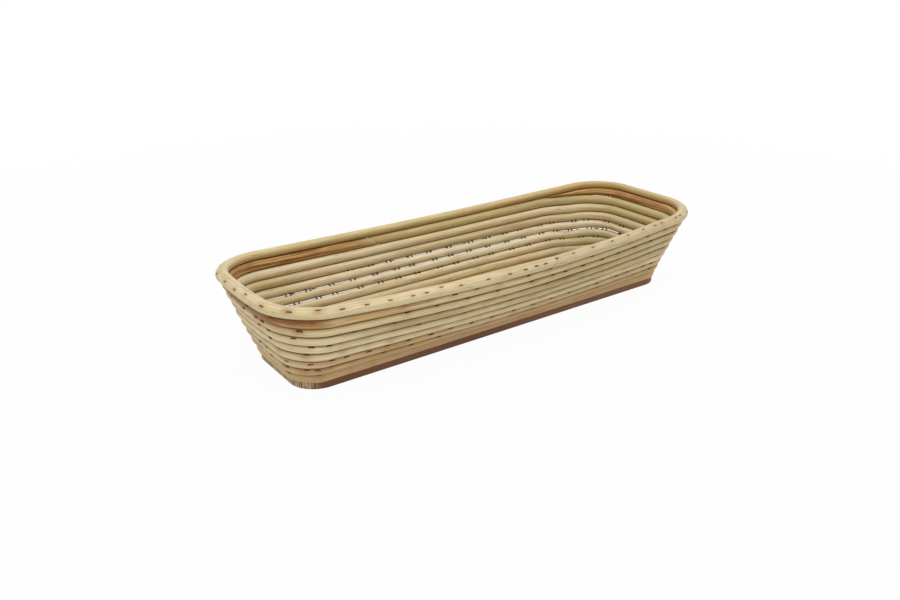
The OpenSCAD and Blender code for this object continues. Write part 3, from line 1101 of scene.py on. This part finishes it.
@dataclass(frozen=True)
class Winding:
    """The wall: three canes spliced into one winding of eight turns."""

    form: WallForm
    plan: StaplePlan
    shape: CaneShape = CaneShape(stain_reach=0.7)
    lower_splice_turn: int = 3
    lower_splice_x: float = 0.039
    upper_splice_x: float = -0.058
    start: float = -2.0
    stain_at: float = 0.85
    # How dark the painted shade in the grooves is; none under the turn that sits on the board.
    dark: float = 0.8
    squared: float = 0.95
    seat_end: Span = (19, 23)
    lift_from: Span = (22.5, 23.0)
    fuller: float = 0.00012
    slits: tuple[AmountStop, ...] = (
        (1, 0, 0.0),
        (2, 18, 0.0), (2, 22, 0.10),
        (3, 0, 0.10), (3, 0.7, 0.32), (3, 1.2, 0.62), (3, 3, 0.62), (3, 6, 0.0), (3, 17, 0.0),
        (3, 19, 0.90), (3, 22, 0.90), (3, 22.6, 0.55),
        (4, 0, 0.42), (4, 0.8, 0.30), (4, 1.2, 0.50), (4, 3, 0.50), (4, 6, 0.0), (4, 20.6, 0.0),
        (4, 21, 0.26), (4, 22.4, 0.26), (4, 22.8, 0.10), (4, 23.3, 0.10), (4, 23.6, 0.36),
        (5, 0.1, 0.36), (5, 0.3, 0.44), (5, 0.6, 0.44), (5, 0.8, 0.10), (5, 5, 0.0),
        (7, 19.3, 0.0), (7, 19.5, 0.65), (7, 20.5, 0.65), (7, 20.8, 0.0),
        (8, 23, 0.0),
    )
    tones: tuple[ToneStop, ...] = (
        (1, 0, Tone.STRAW), (1, 6, Tone.GOLD), (1, 10, Tone.TAN), (1, 14, Tone.TAN),
        (1, 20, Tone.STRAW), (1, 23, Tone.PALE),
        (2, 1, Tone.PALE), (2, 6, Tone.STRAW), (2, 12, Tone.TAN), (2, 16, Tone.TAN), (2, 20, Tone.PALE),
        (3, 0, Tone.CREAM), (3, 1.2, Tone.CREAM), (3, 6, Tone.PALE), (3, 10, Tone.PINK),
        (3, 10.7, Tone.TAN), (3, 11.5, Tone.PINK), (3, 12.5, Tone.GREY), (3, 16, Tone.GREY),
        (3, 20, Tone.CREAM),
        (4, 0, Tone.MILK), (4, 1.2, Tone.CREAM), (4, 2, Tone.PALE), (4, 6, Tone.PALE),
        (4, 10, Tone.CREAM), (4, 12.4, Tone.PALE), (4, 14, Tone.CREAM), (4, 20, Tone.CREAM),
        (5, 0, Tone.MILK), (5, 1.2, Tone.CREAM), (5, 2, Tone.PALE), (5, 9.5, Tone.CREAM),
        (5, 11.5, Tone.PALE), (5, 12.4, Tone.GREY), (5, 16, Tone.GREY), (5, 20, Tone.PALE),
        (5, 22, Tone.PALE), (5, 23.4, Tone.GREY),
        (6, 0.1, Tone.GREY), (6, 1.2, Tone.CREAM), (6, 2, Tone.OLIVE), (6, 6, Tone.PALE),
        (6, 10, Tone.CREAM), (6, 10.7, Tone.DUSK), (6, 11.5, Tone.GREY), (6, 12.4, Tone.DUSK),
        (6, 13.3, Tone.GREY), (6, 18, Tone.OLIVE), (6, 22, Tone.CREAM),
        (7, 0, Tone.PALE), (7, 1.1, Tone.CREAM), (7, 3, Tone.CREAM), (7, 6, Tone.PALE),
        (7, 11.5, Tone.PALE), (7, 12.4, Tone.OLIVE), (7, 14, Tone.GREY), (7, 18, Tone.OLIVE),
        (8, 0, Tone.OLIVE), (8, 6, Tone.GOLD), (8, 10, Tone.PALE), (8, 11.5, Tone.PALE),
        (8, 12.5, Tone.GREY), (8, 14, Tone.GREY), (8, 18, Tone.GOLD),
    )
    barks: tuple[AmountStop, ...] = (
        (1, 0, 0.0),
        (7, 6, 0.0), (7, 8, 0.22), (7, 10.2, 0.0),
        (8, 0.70, 0.0), (8, 0.74, 0.30), (8, 1.1, 0.75), (8, 1.5, 0.85), (8, 2.2, 0.85), (8, 5, 0.95),
        (8, 5.5, 1.4), (8, 7.5, 1.4), (8, 8.4, 0.90), (8, 9.5, 0.60), (8, 10.0, 0.38), (8, 10.7, 0.42),
        (8, 11.2, 0.20), (8, 11.6, 0.05), (8, 13.5, 0.05), (8, 14.5, 0.25), (8, 17, 0.60),
        (8, 20, 0.85), (8, 23, 0.90),
    )

    def slit(self, count: Array) -> Array:
        """Width of the open slit above the winding."""
        return MM * amount_along(count, self.slits, self.form.stations)

    def lag(self, count: Array) -> Array:
        """Gap over a turn where the turn above it climbs ahead of it."""
        form = self.form
        turn, station = form.split(count)
        ahead = form.climb(station, turn + 1) - form.climb(station, turn)
        return form.wall_pitch * ahead * ((turn >= 1) & (turn < form.turns))

    def end_lift(self, count: Array) -> Array:
        """How far the last turn but one is raised to the rim where the cane above it has run out."""
        form = self.form
        station = count - form.stations * (form.turns - 2)
        inside = np.clip(station, 0, form.stations)
        free = 1 - form.climb(inside, np.full(len(count), form.turns - 1.0))
        return form.wall_pitch * free * ease(*self.lift_from, station)

    def cane(self, first: float, last: float) -> Surface:
        """One cane of the winding, cut for a splice where the winding goes on past its end.

        Args:
            first: count at which it starts.
            last: count at which it ends.

        Returns:
            The cane's surface. It reaches its neighbours up and down the wall, apart from the
            slits that stay open.
        """
        form = self.form
        strand = form.strand(first, last)
        count = strand.count
        below = count - form.stations
        share = strand.tall / form.cane_d
        fill = form.turn_gap / 2 + self.shape.press
        seat = np.where(count < form.stations, form.seat_gap + self.shape.press, fill)
        staples = np.concatenate([self.plan.wall(turn) for turn in range(1, form.turns + 1)])
        staples = staples[(staples > first) & (staples < last)]
        seated = ease(self.start, 0, count) * (1 - ease(*self.seat_end, count))
        section = Section(
            top=strand.tall / 2 + fill + self.end_lift(count) + (self.lag(count) - self.slit(count)) / 2,
            bottom=strand.tall / 2 + seat + (self.lag(below) - self.slit(below)) / 2,
            side=strand.wide / 2 + self.fuller * share,
            stain=self.plan.stain(strand, staples, self.plan.wall_stains),
            groove_shade_above=np.full(len(count), self.dark),
            groove_shade_below=self.dark * (1 - seated),
            flat=self.squared * seated,
            stain_at=self.stain_at,
            board=form.board_t - self.shape.press,
        )
        attributes = {"tone": tone_along(count, self.tones, form.stations),
                      "bark": amount_along(count, self.barks, form.stations)}
        return self.shape.tube(strand, section, attributes, first > self.start, last < form.last_count)

    def build(self) -> None:
        """Builds the three canes and dresses them."""
        form = self.form
        lower_end = ((self.lower_splice_turn - 1) * form.stations
                     + form.station_at(self.lower_splice_x, self.lower_splice_turn))
        upper_start = ((form.turns - 1) * form.stations
                       + form.station_at(self.upper_splice_x, form.turns, FAR_LEFT))
        canes = (("lower_cane", "cane", CaneFinish("straw_cane", shift=0.0), self.start, lower_end),
                 ("middle_cane", "cane", CaneFinish("pale_cane", shift=60.0), lower_end, upper_start),
                 ("upper_cane", "brown_cane", CaneFinish("bark_cane", shift=120.0), upper_start,
                  form.last_count))
        for node, slot, finish, first, last in canes:
            self.cane(first, last).piece(f"{node}_round", finish.material(), slot, node)


@dataclass(frozen=True)
class RimHoop:
    """The oval hoop that closes the rim, scarfed on the front."""

    form: WallForm
    plan: StaplePlan
    shape: CaneShape = CaneShape(shade_inside=(0.36, -0.60, 0.25), shade_under=(0.0, 0.35, 0.95))
    stain_at: float = 0.45
    # How dark the painted shade in the groove under the hoop is.
    dark: float = 0.8
    tones: tuple[ToneStop, ...] = (
        (1, 12, Tone.RIM), (1, 14, Tone.RIM), (1, 18, Tone.STRAW), (1, 20, Tone.GOLD),
        (1, 22, Tone.GOLD),
        (2, 0, Tone.STRAW), (2, 2, Tone.STRAW), (2, 4.5, Tone.PALE), (2, 8, Tone.PALE),
        (2, 10.7, Tone.PALE), (2, 12.5, Tone.RIM),
    )

    def strand(self) -> Strand:
        """The hoop's line, from its scarf once round to its scarf."""
        return self.form.strand(self.plan.scarf, self.plan.scarf + self.form.stations, hoop=True)

    def build(self) -> None:
        """Builds the hoop and dresses it."""
        form = self.form
        strand = self.strand()
        ones = np.ones(len(strand.run))
        section = Section(
            top=form.rim_h / 2 * ones,
            bottom=(form.rim_h / 2 + form.turn_gap / 2 + self.shape.press) * ones,
            side=form.rim_t / 2 * ones,
            stain=self.plan.stain(strand, self.plan.rim(strand), self.plan.rim_stains),
            groove_shade_above=0 * ones,
            groove_shade_below=self.dark * ones,
            flat=0 * ones,
            stain_at=self.stain_at,
        )
        attributes = {"tone": tone_along(strand.count, self.tones, form.stations), "bark": 0 * ones}
        finish = CaneFinish("rim_cane_finish", shift=180.0).material()
        surface = self.shape.tube(strand, section, attributes, True, True)
        surface.piece("rim_cane_round", finish, "rim", "rim_cane")


@dataclass(frozen=True)
class StapleRows:
    """Wire staples: one row through each turn into the one below, and one through the rim."""

    form: WallForm
    plan: StaplePlan
    hoop: RimHoop
    crown_w: float = 0.0050
    leg_l: float = 0.0098
    wire_t: float = 0.0009
    wire_w: float = 0.0009
    bend: float = 0.0007
    wall_sides: tuple[float, ...] = (1.4, 2.0, 2.4, 1.2, 1.6, 1.7, 2.2, 2.2)
    rim_side: float = 0.0008
    far_side: float = 0.0026
    corner_side: float = 0.0007
    lean: float = 18.0
    far_lean: float = 25.0
    far_rows: Mapping[int, Span] = field(default_factory=lambda: {
        3: (-6, 0), 4: (-6, 4.5), 5: (-6, 4.5), 6: (0, 1.2),
    })
    far_row_side: float = 0.0011
    corner_from: Span = (5.5, 6.2)
    corner_to: Span = (9.4, 10.0)
    sink: float = 0.0003
    lean_scatter: float = 1.5
    yaw_scatter: float = 0.05
    side_scatter: float = 0.00018
    seed_shift: int = 20

    def wire(self) -> tuple[Array, list[list[int]]]:
        """One staple: a rectangular wire carried along a leg, a bend, the crown, a bend, a leg.

        Returns:
            Points on the axes along the cane, across the wire and along the drive, with the
            crown's middle at the origin, and the faces.
        """
        half = (self.crown_w - self.wire_t) / 2
        turn = np.radians([0, 45, 90])
        left = np.stack([-half + self.bend * (1 - np.cos(turn)), self.bend * (np.sin(turn) - 1)], -1)
        left_face = np.stack([-np.cos(turn), np.sin(turn)], -1)
        flip = np.array([-1, 1])
        path = np.concatenate([[[-half, -self.leg_l]], left, left[::-1] * flip, [[half, -self.leg_l]]])
        face = np.concatenate([[[-1, 0]], left_face, left_face[::-1] * flip, [[1, 0]]])
        thick = np.array([1, 1, -1, -1]) * self.wire_t / 2
        across = np.array([1, -1, -1, 1]) * self.wire_w / 2
        plane = path[:, None] + thick[None, :, None] * face[:, None]
        points = np.stack([plane[..., 0], np.broadcast_to(across, plane.shape[:2]), plane[..., 1]], -1)
        last = 4 * (len(path) - 1)
        faces = ring_faces(len(path), 4) + [[3, 2, 1, 0], [last, last + 1, last + 2, last + 3]]
        return points.reshape(-1, 3), faces

    def row(self, strand: Strand, run: Array, high: float, wide: float, side: Array,
            lean: Array, rng: np.random.Generator) -> Surface:
        """Staples on a cane, their crowns on its outer shoulder and their legs to the turn below.

        Args:
            strand: the cane's line.
            run: lengths along it at which the staples sit.
            high, wide: the cane's reach up the wall and through it.
            side: how far out of the cane's middle each crown sits.
            lean: degrees by which each staple leans out of the wall.
            rng: source of the small differences from one staple to the next.

        Returns:
            All the row's wires as one surface.
        """
        points, faces = self.wire()
        pick = np.clip(np.searchsorted(strand.run, run), 0, len(strand.run) - 1)
        frame = (strand.centre, strand.along, strand.up, strand.out)
        centre, along, up, out = (part[pick] for part in frame)
        number = len(run)
        lean = np.radians(lean + rng.normal(0, self.lean_scatter, number))[:, None]
        yaw = rng.normal(0, self.yaw_scatter, number)[:, None]
        drive = unit(np.cos(lean) * up + np.sin(lean) * out)
        along = unit(along + yaw * out)
        across = np.cross(drive, along)
        along = np.cross(across, drive)
        aside = np.clip(side + rng.normal(0, self.side_scatter, number), 0, wide)[:, None]
        sine = (aside / wide) ** (1 / self.hoop.shape.outer_power)
        crown = centre + aside * out + (high * np.sqrt(1 - sine ** 2) - self.sink) * up
        placed = np.einsum("pa,nac->npc", points, np.stack([along, across, drive], 1)) + crown[:, None]
        steps = len(points) * np.arange(number)
        numbered = [[i + step for i in face] for step in steps.tolist() for face in faces]
        return Surface(placed.reshape(-1, 3), numbered)

    def build(self) -> None:
        """Builds the nine rows and dresses them."""
        form = self.form
        material = StapleFinish().material()
        whole = self.plan.line()
        reach = (form.cane_d + form.turn_gap) / 2
        seed = self.plan.seed + self.seed_shift
        for turn, side in enumerate(self.wall_sides, 1):
            rng = np.random.default_rng(seed + turn)
            counts = self.plan.wall(turn)
            station = counts % form.stations
            corner = ease(*self.corner_from, station) * (1 - ease(*self.corner_to, station))
            run = np.interp(counts, whole.count, whole.run)
            first, last = self.far_rows.get(turn, (0, 0))
            past = np.where(station > form.stations / 2, station - form.stations, station)
            far = (past > first) & (past < last)
            aside = np.where(far, self.far_row_side, side * MM + self.corner_side * corner)
            lean = np.where(far, self.far_lean, self.lean)
            surface = self.row(whole, run, reach, reach, aside, lean, rng)
            surface.piece(f"staple_wires_{turn}", material, "staples", f"staples_turn_{turn}")
        rng = np.random.default_rng(seed)
        strand = self.hoop.strand()
        counts = self.plan.rim(strand)
        run = np.interp(counts, strand.count, strand.run)
        seen = np.isin(counts % form.stations, np.array(self.plan.seen_rim) % form.stations)
        side = np.where(seen, self.rim_side, self.far_side)
        lean = np.full(len(run), self.lean)
        surface = self.row(strand, run, form.rim_h / 2, form.rim_t / 2, side, lean, rng)
        surface.piece("rim_staple_wires", material, "staples", "rim_staples")


@dataclass(frozen=True)
class BaseBoard:
    """The stained board under the winding, its edges eased and its ends showing end grain."""

    form: WallForm
    easing: float = 0.0004
    steps: int = 5
    points_a_station: int = 8
    end_from: Span = (0.25, 0.8)

    def surface(self) -> Surface:
        """The board's edge profile carried round its outline, closed by two flat faces.

        The profile is upright with a quarter round at each arris. A ring of the sweep is the
        outline drawn in by the profile's own distance from the edge.

        Returns:
            The closed surface, with the share of end grain at each point, none on its flat faces.
        """
        form = self.form
        station = np.linspace(0, form.stations, form.stations * self.points_a_station, endpoint=False)
        edge, outward = form.outline(station, form.board_l / 2, form.board_w / 2, form.board_r)
        turn = np.linspace(0, math.pi / 2, self.steps)
        inset = self.easing * np.concatenate([1 - np.sin(turn), 1 - np.cos(turn)])
        z = np.concatenate([self.easing * (1 - np.cos(turn)),
                            form.board_t - self.easing * (1 - np.sin(turn))])
        flat = edge[None] - inset[:, None, None] * outward[None]
        points = np.concatenate([flat, np.broadcast_to(z[:, None, None], (*flat.shape[:2], 1))], -1)
        rings, sides = points.shape[:2]
        faces = ring_faces(rings, sides)
        bottom = np.arange(sides)[::-1].tolist()
        top = ((rings - 1) * sides + np.arange(sides)).tolist()
        upright = np.ones(rings)
        upright[[0, -1]] = 0
        end = np.outer(upright, ease(*self.end_from, np.abs(outward[:, 0])))
        return Surface(points.reshape(-1, 3), faces + [bottom, top], {"end_grain": end.ravel()})

    def build(self) -> None:
        """Builds the board and dresses it."""
        self.surface().piece("board_dressed", BoardFinish().material(), "board", "base_board")


@dataclass(frozen=True)
class Lamp:
    """One soft square lamp: its name, place, size and power."""

    name: str
    place: tuple[float, float, float]
    size: float
    power: float
    steep: float = 0.9

    def hang(self) -> None:
        """Hangs the lamp, facing the basket."""
        data = bpy.data.lights.new(self.name, "AREA")
        data.shape = "SQUARE"
        data.size = self.size
        data.energy = self.power
        back = unit(np.array(self.place))
        side = unit(np.cross([0.0, 1.0, 0.0] if abs(back[2]) > self.steep else [0.0, 0.0, 1.0], back))
        lamp = add_object(self.name, data)
        lamp.matrix_world = placement([side, np.cross(back, side), back], self.place)


@dataclass(frozen=True)
class Studio:
    """White floor, soft light and a camera at the photograph's angle."""

    floor_radius: float = 2.6
    floor_rings: int = 14
    floor_sides: int = 72
    floor_inner: float = 0.02
    floor_growth: float = 1.5
    floor_z: float = -0.0002
    ambient: float = 0.74
    focal_px: float = 848.644
    azimuth: float = -37.1138
    elevation: float = 23.7736
    distance: float = 0.7289164
    right_px: float = 26.2645
    down_px: float = 11.9263
    roll: float = 0.1979
    sensor: float = 36.0
    lamps: tuple[Lamp, ...] = (
        Lamp("key", (-0.55, -0.75, 1.50), 1.3, 6.5),
        Lamp("top", (0.10, -0.10, 1.80), 1.5, 5.0),
    )

    def floor(self) -> None:
        """Lays a round floor: rings of growing radius about the middle of the basket."""
        radius = self.floor_radius * np.linspace(self.floor_inner, 1, self.floor_rings) ** self.floor_growth
        angle = np.linspace(0, 2 * math.pi, self.floor_sides, endpoint=False)
        flat = radius[:, None, None] * np.stack([np.cos(angle), np.sin(angle)], -1)[None]
        points = np.concatenate([flat, np.full((*flat.shape[:2], 1), self.floor_z)], -1)
        faces = ring_faces(self.floor_rings, self.floor_sides)
        faces = [face[::-1] for face in faces] + [list(range(self.floor_sides))]
        Surface(points.reshape(-1, 3), faces).thing("floor", FloorFinish().material())

    def light(self) -> None:
        """Sets the soft surrounding light, white to the camera, and hangs the lamps."""
        world = bpy.data.worlds.new("studio")
        world.use_nodes = True
        graph = Graph(world.node_tree)
        strength = self.ambient + (1 - self.ambient) * seen_ray(graph)
        glow = graph.node("ShaderNodeBackground", {}, {"Color": WHITE, "Strength": strength})
        graph.node("ShaderNodeOutputWorld", {}, {"Surface": glow})
        bpy.context.scene.world = world
        for lamp in self.lamps:
            lamp.hang()

    def camera(self) -> None:
        """Sets the camera: it looks at the origin from its azimuth and elevation."""
        azimuth, elevation, roll = np.radians([self.azimuth, self.elevation, self.roll])
        back = np.array([math.sin(azimuth) * math.cos(elevation),
                         -math.cos(azimuth) * math.cos(elevation), math.sin(elevation)])
        level = unit(np.cross(-back, [0.0, 0.0, 1.0]))
        above = np.cross(level, -back)
        right = level * math.cos(roll) + above * math.sin(roll)
        up = above * math.cos(roll) - level * math.sin(roll)
        data = bpy.data.cameras.new("photo_camera")
        data.sensor_fit = "HORIZONTAL"
        data.sensor_width = self.sensor
        data.lens = self.focal_px * self.sensor / FRAME_W
        data.shift_x = -self.right_px / FRAME_W
        data.shift_y = self.down_px / FRAME_W
        camera = add_object("photo_camera", data)
        camera.matrix_world = placement([right, up, back], self.distance * back)
        bpy.context.scene.camera = camera

    def build(self) -> None:
        """Sets up the floor, the light and the camera."""
        self.floor()
        self.light()
        self.camera()
        bpy.context.scene.view_settings.view_transform = "Standard"


def main() -> None:
    """Loads the frame, builds the basket's pieces in order, and sets the studio round them."""
    logging.basicConfig(level=logging.INFO, format="%(name)s: %(message)s")
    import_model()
    form = WallForm()
    plan = StaplePlan(form)
    hoop = RimHoop(form, plan)
    BaseBoard(form).build()
    Winding(form, plan).build()
    hoop.build()
    StapleRows(form, plan, hoop).build()
    Studio().build()


if __name__ == "__main__":
    main()
